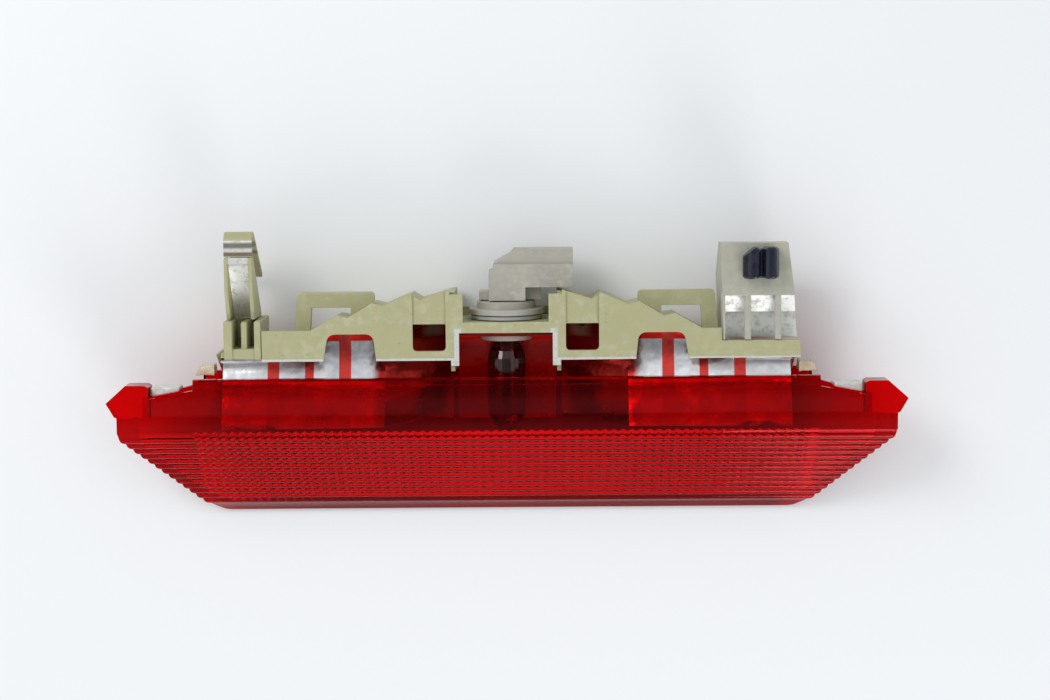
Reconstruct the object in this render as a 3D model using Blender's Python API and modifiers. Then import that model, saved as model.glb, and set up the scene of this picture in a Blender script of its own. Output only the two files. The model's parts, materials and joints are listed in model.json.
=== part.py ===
"""Third brake light: a fluted red lens, stepped reflectors, a clip-on housing and a twist-in bulb holder.

Design axes, in millimetres: x across the vehicle, y from the lens's front edge to the rear, z up.
"""
import math

import bmesh
import bpy
from mathutils import Matrix, Vector

MM = 0.001
GAP = 0.3
WALL = 2.0

# Overall
DEPTH = 110.3
LENS_HEIGHT = 34.0
LENS_REAR = 55.3
LENS_HALF = 146.3
LENS_TOP_HALF = 146.6
LENS_FOOT_HALF = 111.8
LENS_CORNER = 30.0
FACE_START = 2.0
FACE_BORDER = 3.2
FLUTES = 13
FLUTE_RISE = 0.55

# Housing
PLATE_LOW = 31.0
PLATE_TOP = 33.0
PLATE_FRONT = 61.8
PLATE_END = 109.5
NICHE_HALF = 17.5
SOCKET_FRONT = 74.0
SOCKET_REAR = 76.0

# Reflector trough: a flat floor that turns up into the rear wall, stepped in plan and in height.
# Each station is (distance from the middle, rear edge, steps up from the middle's floor).
TROUGH_FRONT = 36.0
TROUGH_TOP = 30.5
TROUGH_DEPTH = 26.4
TROUGH_TURN = 0.12
STEP_RISE = 2.4
STATIONS = [(107.0, 65.6, 4), (90.0, 66.0, 4), (86.0, 66.5, 3), (76.0, 72.0, 3), (73.0, 73.3, 2), (63.2, 79.0, 2),
            (59.0, 78.1, 1), (49.8, 83.5, 1), (46.0, 82.3, 0), (35.6, 86.7, 0), (32.0, 84.4, 0), (21.0, 88.0, 0)]
REFLECTOR_INSIDE = -4.4
REFLECTOR_OUTSIDE = -3.4
SHELL_INSIDE = -2.5
SHELL_OUTSIDE = -0.8

# Bulb and holder, about an axis that points forward
AXIS_Z = 18.0
BARREL_RADIUS = 10.0
SOCKET_RADIUS = 10.7
FLANGE_RADIUS = 14.3
BULB_RADIUS = 7.2
BULB_TIP = 34.5
BULB_FOOT = 67.8

# Clip at the left end
CLIP_LEFT = -104.6
CLIP_RIGHT = -94.0
FLANGE = 1.5
CLIP_PIVOT_Y = 101.0
CLIP_PIVOT_Z = 32.0

# Mounting block at the right end
BLOCK_TOP = 34.0
BLOCK_FLOOR = 6.0

for old in list(bpy.data.objects):
    bpy.data.objects.remove(old, do_unlink=True)

parts = bpy.data.collections.new("third_brake_light")
cutters = bpy.data.collections.new("cutters")
bpy.context.scene.collection.children.link(parts)
bpy.context.scene.collection.children.link(cutters)


# ---------------------------------------------------------------- finishes
def finish(name, color, roughness, metallic=0.0):
    """A plain Principled material."""
    material = bpy.data.materials.new(name)
    material.use_nodes = True
    shader = material.node_tree.nodes["Principled BSDF"]
    shader.inputs["Base Color"].default_value = (*color, 1.0)
    shader.inputs["Roughness"].default_value = roughness
    shader.inputs["Metallic"].default_value = metallic
    return material


RED_LENS = finish("red_lens", (0.55, 0.005, 0.008), 0.12)
OLIVE_PLASTIC = finish("olive_plastic", (0.41, 0.40, 0.25), 0.5)
MIRROR_COAT = finish("mirror_coat", (0.82, 0.82, 0.84), 0.1, 1.0)
HOLDER_PLASTIC = finish("holder_plastic", (0.40, 0.39, 0.34), 0.55)
BLACK_RUBBER = finish("black_rubber", (0.012, 0.013, 0.02), 0.45)
GREY_FOAM = finish("grey_foam", (0.62, 0.64, 0.60), 0.9)
CREAM_WELD = finish("cream_weld", (0.72, 0.66, 0.50), 0.6)
BULB_GLASS = finish("bulb_glass", (0.9, 0.9, 0.9), 0.03)
BULB_CAP = finish("bulb_cap", (0.25, 0.15, 0.08), 0.4)
TIN_METAL = finish("tin_metal", (0.75, 0.73, 0.68), 0.25, 1.0)


# ---------------------------------------------------------------- shapes
def place(x, y, z):
    """Design millimetres to world metres: the middle of the depth is y = 0."""
    return Vector((x, y - DEPTH / 2, z)) * MM


def add(name, mesh, material, location, home):
    """Put a mesh in the scene as one named piece."""
    mesh.materials.clear()
    mesh.materials.append(material)
    piece = bpy.data.objects.new(name, mesh)
    piece.location = location
    home.objects.link(piece)
    if home is cutters:
        piece.hide_render = True
        piece.display_type = "WIRE"
    return piece


def box(name, low, high, material, home=parts):
    """A box between two corners."""
    size = Vector(high) - Vector(low)
    mesh = bpy.data.meshes.new(name)
    shape = bmesh.new()
    bmesh.ops.create_cube(shape, size=MM)
    bmesh.ops.scale(shape, vec=size, verts=shape.verts)
    shape.to_mesh(mesh)
    shape.free()
    middle = (Vector(low) + Vector(high)) / 2
    return add(name, mesh, material, place(*middle), home)


PLANES = {
    "xy": Matrix.Identity(4),
    "xz": Matrix.Rotation(math.radians(90), 4, "X"),
    "yz": Matrix(((0, 0, 1, 0), (1, 0, 0, 0), (0, 1, 0, 0), (0, 0, 0, 1))),
}


def prism(name, outline, plane, low, high, material, home=parts):
    """A flat outline in one plane, as thick as low to high along the third axis."""
    curve = bpy.data.curves.new(name + "_outline", "CURVE")
    curve.dimensions = "2D"
    curve.fill_mode = "BOTH"
    curve.extrude = (high - low) / 2 * MM
    spline = curve.splines.new("POLY")
    spline.points.add(len(outline) - 1)
    for point, (u, v) in zip(spline.points, outline):
        point.co = (u * MM, v * MM, 0, 1)
    spline.use_cyclic_u = True
    drawn = bpy.data.objects.new(name + "_outline", curve)
    parts.objects.link(drawn)
    middle = (low + high) / 2
    origin = {"xy": (0, 0, middle), "xz": (0, middle, 0), "yz": (middle, 0, 0)}[plane]
    drawn.matrix_world = Matrix.Translation(place(*origin)) @ PLANES[plane]
    bpy.context.view_layer.update()
    mesh = bpy.data.meshes.new_from_object(drawn.evaluated_get(bpy.context.evaluated_depsgraph_get()))
    mesh.name = name
    shape = bmesh.new()
    shape.from_mesh(mesh)
    bmesh.ops.remove_doubles(shape, verts=shape.verts, dist=1e-6)
    shape.to_mesh(mesh)
    shape.free()
    piece = add(name, mesh, material, (0, 0, 0), home)
    piece.matrix_world = drawn.matrix_world.copy()
    bpy.data.objects.remove(drawn, do_unlink=True)
    return piece


def turned(name, profile, material, location, home=parts, steps=32):
    """A profile of (radius, height), top to bottom, turned about the forward axis at a place."""
    mesh = bpy.data.meshes.new(name)
    shape = bmesh.new()
    corners = [shape.verts.new((radius * MM, 0, height * MM)) for radius, height in profile]
    for first, second in zip(corners, corners[1:]):
        shape.edges.new((first, second))
    if profile[0][0] > 0:
        shape.edges.new((corners[-1], corners[0]))
    shape.to_mesh(mesh)
    shape.free()
    piece = add(name, mesh, material, place(*location), home)
    piece.rotation_euler.x = math.radians(90)
    screw = piece.modifiers.new("turn", "SCREW")
    screw.steps = steps
    screw.render_steps = steps
    screw.use_merge_vertices = True
    screw.merge_threshold = 1e-6
    return piece


def combine(piece, other, operation):
    """Cut, join or intersect a piece with another."""
    boolean = piece.modifiers.new(operation.lower() + "_" + other.name, "BOOLEAN")
    boolean.operation = operation
    boolean.solver = "EXACT"
    boolean.object = other


def soften(piece, width, segments=1):
    """Break a piece's sharp edges."""
    bevel = piece.modifiers.new("soften", "BEVEL")
    bevel.width = width * MM
    bevel.segments = segments
    bevel.limit_method = "ANGLE"
    bevel.angle_limit = math.radians(40)


def rounded(corners, steps=4):
    """An outline through corners (u, v, radius), each turned by an arc."""
    outline = []
    for index, (u, v, radius) in enumerate(corners):
        here = Vector((u, v))
        back = (Vector(corners[index - 1][:2]) - here).normalized()
        ahead = (Vector(corners[(index + 1) % len(corners)][:2]) - here).normalized()
        if radius == 0:
            outline.append((u, v))
            continue
        half = math.acos(max(-1.0, min(1.0, back.dot(ahead)))) / 2
        centre = here + (back + ahead).normalized() * (radius / math.sin(half))
        start = here + back * (radius / math.tan(half)) - centre
        sweep = start.angle_signed(here + ahead * (radius / math.tan(half)) - centre)
        for step in range(steps + 1):
            turned_arm = start.copy()
            turned_arm.rotate(Matrix.Rotation(-sweep * step / steps, 2))
            outline.append(tuple(centre + turned_arm))
    return outline


def mirrored(outline):
    """The same outline on the other side of x = 0."""
    return [(-u, v) for u, v in reversed(outline)]


def trough_section(rear, raised, offset, stop, steps=8):
    """One surface's section, from the top rear edge down and forward to y = stop."""
    reach = rear - TROUGH_FRONT + offset
    depth = TROUGH_DEPTH + offset - REFLECTOR_INSIDE - raised * STEP_RISE
    end = math.acos(((stop - TROUGH_FRONT) / reach) ** (1 / TROUGH_TURN))
    section = []
    for step in range(steps + 1):
        angle = end * step / steps
        y = TROUGH_FRONT + reach * max(0.0, math.cos(angle)) ** TROUGH_TURN
        section.append((y, TROUGH_TOP - depth * math.sin(angle) ** TROUGH_TURN))
    return section


def trough(name, stations, inside, outside, stop, material, home=parts, steps=8):
    """A curved wall lofted through stations (x, rear edge, steps raised), between two offsets."""
    shape = bmesh.new()
    rows = []
    for x, rear, raised in stations:
        ring = trough_section(rear, raised, inside, stop, steps)
        ring += reversed(trough_section(rear, raised, outside, stop, steps))
        rows.append([shape.verts.new(place(x, y, z)) for y, z in ring])
    for row, following in zip(rows, rows[1:]):
        for index in range(len(row)):
            after = (index + 1) % len(row)
            shape.faces.new((row[index], row[after], following[after], following[index]))
    for row in (rows[0], rows[-1]):
        for index in range(steps):
            opposite = len(row) - 1 - index
            shape.faces.new((row[index], row[index + 1], row[opposite - 1], row[opposite]))
    bmesh.ops.recalc_face_normals(shape, faces=shape.faces)
    mesh = bpy.data.meshes.new(name)
    shape.to_mesh(mesh)
    shape.free()
    return add(name, mesh, material, (0, 0, 0), home)


def stations_on(sign):
    """The trough's stations on one side of the middle."""
    return [(sign * x, rear, raised) for x, rear, raised in STATIONS]


# ---------------------------------------------------------------- lens
def face_z(y, inset=0.0):
    """Height of the raked face at a depth, moved inward by an inset."""
    slope = (LENS_HEIGHT - FACE_START) / LENS_HEIGHT
    return FACE_START + slope * y - inset * math.hypot(1, slope)


def fluted_profile():
    """Side outline of the lens, with the flutes bulging from its raked face."""
    outline = [(0.0, 0.0), (0.0, FACE_START), (FACE_BORDER, face_z(FACE_BORDER))]
    start = Vector(outline[-1])
    finish_point = Vector((LENS_HEIGHT - 1.0, face_z(LENS_HEIGHT - 1.0)))
    along = (finish_point - start) / FLUTES
    outward = Vector((-along.y, along.x)).normalized()
    arc_steps = 3
    for flute in range(FLUTES):
        for step in range(1, arc_steps + 1):
            share = step / arc_steps
            bulge = outward * FLUTE_RISE * math.sin(math.pi * share)
            outline.append(tuple(start + along * (flute + share) + bulge))
    outline += [(LENS_HEIGHT, LENS_HEIGHT), (LENS_REAR + 2, LENS_HEIGHT), (LENS_REAR + 2, 0.0)]
    return outline


def front_outline(inset, foot, head):
    """Front view of the lens: an inverse trapezoid with round lower corners."""
    lean = (LENS_TOP_HALF - LENS_FOOT_HALF) / LENS_HEIGHT
    inward = inset * math.hypot(1, lean)
    low = LENS_FOOT_HALF + lean * foot - inward
    high = LENS_FOOT_HALF + lean * head - inward
    corner = LENS_CORNER - inset
    return rounded([(-low, foot, corner), (low, foot, corner), (high, head, 0), (-high, head, 0)], steps=5)


def make_lens():
    """The red outer lens, hollow and open to the rear."""
    lens = prism("lens", fluted_profile(), "yz", -155, 155, RED_LENS)
    front = prism("lens_front_view", front_outline(0, 0, 36), "xz", -5, 60, RED_LENS, cutters)
    half_plan = [(117.2, LENS_REAR), (117.4, 51.2), (134.2, 48.0), (140, 48.0), (140, 42), (LENS_HALF, 42),
                 (LENS_HALF, -8)]
    plan = mirrored(half_plan) + half_plan
    over = prism("lens_plan", plan, "xy", -5, 40, RED_LENS, cutters)
    room = [(2.9, WALL), (LENS_REAR + 4, WALL), (LENS_REAR + 4, LENS_HEIGHT - WALL),
            (34.85, LENS_HEIGHT - WALL)]
    cavity = prism("lens_cavity", room, "yz", -150, 150, RED_LENS, cutters)
    cavity_front = prism("lens_cavity_front", front_outline(WALL, WALL, 32.5), "xz", -2, 66, RED_LENS, cutters)
    combine(cavity, cavity_front, "INTERSECT")
    combine(lens, front, "INTERSECT")
    combine(lens, over, "INTERSECT")
    combine(lens, cavity, "DIFFERENCE")
    ear = [(134.0, 41.0), (144.8, 40.6), (147.0, 41.4), (150.0, 46.6), (142.5, 53.3), (135.4, 53.3),
           (134.0, 52.5)]
    for side, outline in (("left", mirrored(ear)), ("right", ear)):
        solid = prism("lens_ear_" + side, outline, "xy", 25, LENS_HEIGHT + 0.2, RED_LENS, cutters)
        combine(lens, solid, "UNION")
    return lens


# ---------------------------------------------------------------- housing
def make_top_plate():
    """The visible top of the housing."""
    edge = [(x, y) for x, y, raised in STATIONS if x < 76]
    ledge = [(21.0, 86.5), (16.0, 86.5), (16.0, SOCKET_REAR)]
    front_left = [(-NICHE_HALF, SOCKET_FRONT - 2), (-NICHE_HALF, PLATE_FRONT - 2.0), (-20.5, PLATE_FRONT - 2.0),
                  (-20.5, PLATE_FRONT)]
    rear_left = [(-x, y) for x, y in edge + ledge]
    rear_right = list(reversed([(x, y) for x, y in edge + ledge]))
    left_end = [(-91.2, PLATE_FRONT), (-91.2, 73.3)]
    right_end = [(80.6, 73.3), (80.6, 68.6), (PLATE_END, 68.6), (PLATE_END + 0.5, 62.2)]
    front_right = [(20.5, PLATE_FRONT), (20.5, PLATE_FRONT - 2.0), (NICHE_HALF, PLATE_FRONT - 2.0),
                   (NICHE_HALF, SOCKET_FRONT - 2)]
    outline = left_end + rear_left + rear_right + right_end + front_right + front_left
    plate = prism("housing_top", outline, "xy", PLATE_LOW, PLATE_TOP, OLIVE_PLASTIC)
    for side, sign in (("left", -1), ("right", 1)):
        notch = rounded([(47.8, 55, 0), (49.6, 71.9, 3.0), (66.6, 71.9, 3.0), (69.4, 55, 0)])
        window = rounded([(22.4, 65.3, 1.5), (22.4, 75.4, 0.5), (34.8, 75.4, 0.5), (34.8, 65.3, 1.5)], steps=3)
        for label, hole in (("notch", notch), ("window", window)):
            shape = hole if sign > 0 else mirrored(hole)
            opening = prism(f"{label}_{side}_cut", shape, "xy", 25, 40, OLIVE_PLASTIC, cutters)
            combine(plate, opening, "DIFFERENCE")
    return plate


def make_shell():
    """The housing's curved walls behind the reflectors, with the socket wall, niche walls and floor."""
    halves = []
    for sign in (-1, 1):
        stations = stations_on(sign)
        stations[-1] = (sign * (NICHE_HALF + 2.6), *STATIONS[-1][1:])
        halves.append(trough(f"shell_half_{sign + 1}", stations, SHELL_INSIDE, SHELL_OUTSIDE, LENS_REAR + 0.5,
                             OLIVE_PLASTIC, cutters))
    base = box("housing_shell", (-22, LENS_REAR + 0.5, 0), (22, 79, 1.8), OLIVE_PLASTIC)
    combine(base, halves[0], "UNION")
    combine(base, halves[1], "UNION")
    sector = trough_section(STATIONS[-1][1], 0, SHELL_OUTSIDE, 57.5)
    outline = [(57.5, TROUGH_TOP), *sector[:-1], (57.5, 1.0)]
    for label, low in (("left", -20.6), ("right", 19.1)):
        wall = prism(f"niche_wall_{label}", outline, "yz", low, low + 1.5, OLIVE_PLASTIC, cutters)
        combine(base, wall, "UNION")
    back = box("socket_wall", (-20, SOCKET_FRONT, 0.9), (20, SOCKET_REAR, TROUGH_TOP), OLIVE_PLASTIC, cutters)
    combine(base, back, "UNION")
    bore = turned("socket_bore", [(0, 12), (SOCKET_RADIUS, 12), (SOCKET_RADIUS, -12), (0, -12)], OLIVE_PLASTIC,
                  (0, 75, AXIS_Z), cutters, steps=40)
    combine(base, bore, "DIFFERENCE")
    return base


def make_reflectors():
    """The metallised facets: stepped left and right halves, and the niche behind the bulb."""
    for side, sign in (("left", -1), ("right", 1)):
        trough("reflector_" + side, stations_on(sign), REFLECTOR_INSIDE, REFLECTOR_OUTSIDE, TROUGH_FRONT,
               MIRROR_COAT)
    niche_rear = 70.4 - REFLECTOR_INSIDE
    stations = [(x, niche_rear, 0) for x in (-18.8, -9.0, 9.0, 18.8)]
    niche = trough("reflector_centre", stations, REFLECTOR_INSIDE, REFLECTOR_OUTSIDE, TROUGH_FRONT, MIRROR_COAT)
    hole = turned("bulb_hole", [(0, 20), (10.9, 20), (10.9, -12), (0, -12)], MIRROR_COAT, (0, 68, AXIS_Z),
                  cutters, steps=32)
    combine(niche, hole, "DIFFERENCE")


def make_end_cheeks():
    """Flat walls that close the outer ends of the trough."""
    sector = trough_section(*STATIONS[0][1:], SHELL_OUTSIDE, LENS_REAR + 0.5)
    outline = [(LENS_REAR + 0.5, 16.0), *sector]
    for side, low in (("left", -108.8), ("right", 107.4)):
        prism("end_cheek_" + side, outline, "yz", low, low + 1.4, OLIVE_PLASTIC)


def make_weld_lugs():
    """Cream lugs that weld the housing to the lens at its ends."""
    lug = rounded([(109.3, 56.0, 1.0), (118.0, 56.0, 1.0), (115.0, 60.2, 1.5), (109.3, 61.0, 1.0)], steps=2)
    for side, outline in (("left", mirrored(lug)), ("right", lug)):
        prism("weld_lug_" + side, outline, "xy", 22, 30.5, CREAM_WELD)


def make_pads():
    """Light grey pads behind the lens's wings."""
    pad = [(122.8, 50.6), (133.4, 48.6), (133.4, 52.2), (122.8, 52.2)]
    for side, outline in (("left", mirrored(pad)), ("right", pad)):
        prism("foam_pad_" + side, outline, "xy", 22, 31, GREY_FOAM)


def make_loops():
    """Locating loops that stand out behind the housing."""
    for side, sign in (("left", -1), ("right", 1)):
        frame = rounded([(49.5, 70, 0), (49.5, 87, 1.5), (78.4, 87, 1.5), (80.0, 70, 0)], steps=3)
        opening = [(58.4, 60), (58.4, 81.2), (73.2, 81.2), (74.6, 60)]
        flip = mirrored if sign < 0 else list
        loop = prism("locating_loop_" + side, flip(frame), "xy", 21.5, 25.0, OLIVE_PLASTIC)
        hole = prism("loop_hole_" + side, flip(opening), "xy", 15, 30, OLIVE_PLASTIC, cutters)
        combine(loop, hole, "DIFFERENCE")
        stations = [station for station in stations_on(sign) if abs(station[0]) < 87]
        clear = trough("loop_clear_" + side, stations, -22.0, SHELL_OUTSIDE + 2 * GAP, 42.0, OLIVE_PLASTIC,
                       cutters)
        combine(loop, clear, "DIFFERENCE")


# ---------------------------------------------------------------- clip
def make_clip_bracket():
    """The open box at the left end that carries the clip, with its posts and centre rib."""
    bracket = box("clip_bracket", (-105.4, 62.6, 8.0), (-91.5, 77.0, 33.0), OLIVE_PLASTIC)
    room = box("bracket_room", (-102.2, 66.6, 18.0), (-94.0, 80.0, 40.0), OLIVE_PLASTIC, cutters)
    combine(bracket, room, "DIFFERENCE")
    front_step = box("bracket_front_step", (-102.2, 60.0, 32.2), (-94.0, 67.0, 40.0), OLIVE_PLASTIC, cutters)
    combine(bracket, front_step, "DIFFERENCE")
    rib = box("bracket_rib", (-99.2, 66.2, 16.0), (-96.9, 76.5, 30.8), OLIVE_PLASTIC, cutters)
    combine(bracket, rib, "UNION")
    hollow = box("bracket_hollow", (-103.4, 68.2, 0.0), (-93.5, 75.0, 16.0), OLIVE_PLASTIC, cutters)
    combine(bracket, hollow, "DIFFERENCE")
    trough_room = box("bracket_trough_room", (-120.0, 60.0, 0.0), (-80.0, 66.2, TROUGH_TOP + GAP), OLIVE_PLASTIC,
                      cutters)
    combine(bracket, trough_room, "DIFFERENCE")


def make_clip_arm():
    """A channel-section arm: its web climbs from the bracket to the rear between two flanges."""
    end = CLIP_PIVOT_Y - GAP / 2
    side = [(77.3, 9.5), (77.3, 29.0), (88.0, 33.2), (end, 33.2), (end, 29.6)]
    arm = prism("clip_arm", side, "yz", CLIP_LEFT, CLIP_RIGHT, OLIVE_PLASTIC)
    dish = prism("arm_dish", [(76.0, 19.0), (96.5, 32.2), (98.5, 32.2), (98.5, 40.0), (76.0, 40.0)], "yz",
                 CLIP_LEFT + FLANGE, CLIP_RIGHT - FLANGE, OLIVE_PLASTIC, cutters)
    combine(arm, dish, "DIFFERENCE")
    under = [(75.0, 0.0), (75.0, 16.8), (96.5, 30.8), (102.0, 30.8), (102.0, 0.0)]
    channel = prism("arm_channel", under, "yz", CLIP_LEFT + FLANGE, CLIP_RIGHT - FLANGE, OLIVE_PLASTIC, cutters)
    combine(arm, channel, "DIFFERENCE")


def make_clip_leaf():
    """The leaf that curls over at the arm's end and comes back beneath it; it flexes about its curl."""
    thickness = 1.7
    curl = 4.6
    centre = Vector((DEPTH - curl, 33.2 - curl))
    toe = Vector((91.5, 6.0))
    start = CLIP_PIVOT_Y + GAP / 2
    outer = [(start, 33.2)]
    inner = [(start, 33.2 - thickness)]
    sweep = math.radians(122)
    turns = 8
    for step in range(turns + 1):
        angle = math.radians(90) - sweep * step / turns
        arm = Vector((math.cos(angle), math.sin(angle)))
        outer.append(tuple(centre + arm * curl))
        inner.append(tuple(centre + arm * (curl - thickness)))
    outer.append(tuple(toe + Vector((1.4, -1.0))))
    inner.append(tuple(toe))
    outline = outer + list(reversed(inner))
    leaf = prism("clip_leaf", outline, "yz", CLIP_LEFT, CLIP_RIGHT, OLIVE_PLASTIC)
    pivot = place((CLIP_LEFT + CLIP_RIGHT) / 2, CLIP_PIVOT_Y, CLIP_PIVOT_Z)
    shift = leaf.matrix_world.inverted() @ Matrix.Translation(pivot)
    leaf.data.transform(shift.inverted())
    leaf.matrix_world = Matrix.Translation(pivot)


# ---------------------------------------------------------------- mounting block
def make_block():
    """The block at the right end: a hollow box, with ribbed pockets in front of it."""
    plan = [(79.8, 104.9), (104.9, 104.9), (107.4, 86.0), (109.2, 69.0), (81.0, 69.0), (80.6, 86.0)]
    block = prism("mounting_block", plan, "xy", BLOCK_FLOOR, BLOCK_TOP, OLIVE_PLASTIC)
    inside = [(81.9, 102.9), (102.9, 102.9), (105.2, 86.0), (106.9, 71.2), (83.0, 71.2), (82.6, 86.0)]
    hollow = prism("block_hollow", inside, "xy", -2, 21.0, OLIVE_PLASTIC, cutters)
    upper = [(81.9, 102.9), (102.9, 102.9), (104.8, 88.2), (82.6, 88.2)]
    chamber = prism("block_chamber", upper, "xy", 15, BLOCK_TOP - WALL, OLIVE_PLASTIC, cutters)
    combine(block, hollow, "DIFFERENCE")
    combine(block, chamber, "DIFFERENCE")
    slope = [(66.0, 27.0), (79.0, 27.0), (79.0, 29.5), (85.4, 32.0), (85.4, 40.0), (66.0, 40.0)]
    for index, (low, high) in enumerate(((81.6, 89.0), (91.2, 100.2), (102.4, 112.0))):
        pocket = prism(f"pocket_{index}", slope, "yz", low, high, OLIVE_PLASTIC, cutters)
        combine(block, pocket, "DIFFERENCE")
    rise = prism("block_underside", [(87.0, 0.0), (106.0, 26.5), (112.0, 26.5), (112.0, 0.0)], "yz", 70, 120,
                 OLIVE_PLASTIC, cutters)
    combine(block, rise, "DIFFERENCE")


def make_buffer():
    """The black rubber buffer on the block: two lobes with a V slit between them."""
    lobe = [(88.0, BLOCK_TOP + GAP), (100.4, BLOCK_TOP + GAP), (101.0, 38.2), (99.6, 41.2), (96.2, 41.2),
            (94.6, 37.0), (93.2, 41.2), (89.8, 41.2), (87.6, 38.2)]
    buffer = prism("rubber_buffer", lobe, "xz", 92.0, 103.6, BLACK_RUBBER)
    soften(buffer, 0.7)


# ---------------------------------------------------------------- bulb holder
def make_holder():
    """Flange, barrel and bayonet tabs of the twist-in holder, with the bulb's pocket."""
    profile = [(0, 6.8), (BARREL_RADIUS - 0.6, 6.8), (BARREL_RADIUS, 6.2), (BARREL_RADIUS, -3.1),
               (FLANGE_RADIUS, -3.1), (FLANGE_RADIUS, -5.3), (11.0, -5.3), (11.0, -8.0), (0, -8.0)]
    holder = turned("bulb_holder", profile, HOLDER_PLASTIC, (0, 75, AXIS_Z), steps=36)
    for index, sign in enumerate((-1, 1)):
        near, far = sorted((sign * 8.5, sign * 12.3))
        tab = box(f"bayonet_tab_{index}", (near, 71.6, AXIS_Z - 2.5), (far, 73.6, AXIS_Z + 2.5), HOLDER_PLASTIC,
                  cutters)
        combine(holder, tab, "UNION")
    pocket = box("bulb_pocket", (-6.2, 60.0, AXIS_Z - 3.2), (6.2, 80.5, AXIS_Z + 3.2), HOLDER_PLASTIC, cutters)
    combine(holder, pocket, "DIFFERENCE")


def make_seal():
    """Rubber ring between the flange and the socket wall."""
    turned("holder_seal", [(13.4, -1.3), (13.4, -2.8), (10.4, -2.8), (10.4, -1.3)], BLACK_RUBBER, (0, 75, AXIS_Z),
           steps=36)


def make_connector():
    """L-shaped connector shroud, open towards +x, with a lower block at each side of its neck."""
    plan = [(-6.4, 83.4), (7.4, 83.4), (7.4, 88.4), (25.3, 88.4), (25.3, 102.6), (3.0, 102.6), (1.6, 101.0),
            (-4.6, 97.4), (-5.0, 94.8), (-6.4, 94.4)]
    shroud = prism("connector_shroud", plan, "xy", 11.0, 26.5, HOLDER_PLASTIC)
    for label, low, high in (("left", (-10.2, 83.4), (-6.0, 86.5)), ("right", (7.0, 83.4), (13.2, 88.8))):
        side_block = box(f"neck_block_{label}", (*low, 11.5), (*high, 21.5), HOLDER_PLASTIC, cutters)
        combine(shroud, side_block, "UNION")
    rear_step = box("connector_rear_step", (-12.0, 97.2, 25.7), (30.0, 106.0, 30.0), HOLDER_PLASTIC, cutters)
    combine(shroud, rear_step, "DIFFERENCE")
    mouth = box("connector_mouth", (11.0, 90.0, 13.0), (30.0, 101.0, 24.5), HOLDER_PLASTIC, cutters)
    combine(shroud, mouth, "DIFFERENCE")
    for index, y in enumerate((93.0, 98.0)):
        box(f"terminal_{index + 1}", (11.3, y - 0.4, 17.0), (22.0, y + 0.4, 19.8), TIN_METAL)


def make_bulb():
    """Wedge bulb: glass envelope open at its base, cap, leads and filament."""
    length = BULB_FOOT - BULB_TIP
    wall = 0.6
    rows = 6
    outer = [(0.0, length)]
    inner = [(0.0, length - wall)]
    for step in range(1, rows + 1):
        angle = math.radians(90) * step / rows
        outer.append((BULB_RADIUS * math.sin(angle), length - BULB_RADIUS * (1 - math.cos(angle))))
        hollow_radius = BULB_RADIUS - wall
        inner.append((hollow_radius * math.sin(angle), length - wall - hollow_radius * (1 - math.cos(angle))))
    outer += [(BULB_RADIUS, 6.5), (6.4, 3.6), (4.6, 0.0)]
    inner += [(BULB_RADIUS - wall, 6.7), (5.8, 3.8), (4.0, 0.0)]
    glass = turned("bulb_glass", outer + list(reversed(inner)), BULB_GLASS, (0, BULB_FOOT, AXIS_Z), steps=28)
    glass.data.shade_smooth()
    box("bulb_base", (-4.4, BULB_FOOT + GAP, AXIS_Z - 1.3), (4.4, 79.8, AXIS_Z + 1.3), BULB_CAP)
    for index, x in enumerate((-2.0, 2.0)):
        lead_name = f"bulb_lead_{index + 1}"
        lead = [(0, 20.0), (0.25, 20.0), (0.25, 0.0), (0, 0.0)]
        turned(lead_name, lead, TIN_METAL, (x, BULB_FOOT, AXIS_Z), steps=8)
    coil = turned("filament", [(0, 2.0), (0.3, 1.9), (0.3, -1.9), (0, -2.0)], TIN_METAL, (0, 46.5, AXIS_Z), steps=8)
    coil.rotation_euler = (0, math.radians(90), 0)
    for index, sign in enumerate((-1, 1)):
        low, high = sorted((AXIS_Z + sign * 1.7, AXIS_Z + sign * 2.7))
        box(f"contact_clip_{index + 1}", (-2.2, 70.5, low), (2.2, 79.5, high), TIN_METAL)


make_lens()
make_top_plate()
make_shell()
make_reflectors()
make_end_cheeks()
make_weld_lugs()
make_pads()
make_loops()
make_clip_bracket()
make_clip_arm()
make_clip_leaf()
make_block()
make_buffer()
make_holder()
make_seal()
make_connector()
make_bulb()
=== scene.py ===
# %% [markdown]
# # A third brake light
# The lamp sits across the top of a rear window. A red fluted lens faces the road, mirrored steps behind
# it catch the bulb's light, and an olive housing with a clip, a block and two loops holds it to the car.
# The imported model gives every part's true place and size. This script gives the parts their fine surface
# and their finish.

# %% load the frame
import json
import math

import bmesh
import bpy
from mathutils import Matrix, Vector, noise


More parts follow.
